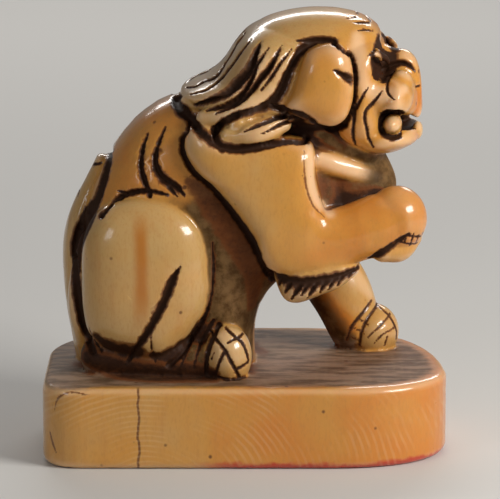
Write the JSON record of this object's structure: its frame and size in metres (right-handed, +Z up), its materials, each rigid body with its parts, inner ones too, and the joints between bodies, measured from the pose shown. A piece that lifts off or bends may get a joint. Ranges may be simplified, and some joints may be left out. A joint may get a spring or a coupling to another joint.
{
  "type": "seal netsuke",
  "caption": "Carved seal netsuke: a lion dog seated on a thick rounded base, one forepaw lifted and a ball in its open mouth, all cut from one block.",
  "frame": {"origin": "centre of the base's underside", "axes": "+X the way the animal faces, -Y the side of the lifted forepaw, +Z up"},
  "size_m": [0.0371, 0.0253, 0.0404],
  "materials": {
    "stained_ivory": "polished old ivory, honey coloured, with brown-black stain in the carved lines and recesses"
  },
  "bodies": {
    "root": {"netsuke": "stained_ivory"}
  },
  "joints": []
}
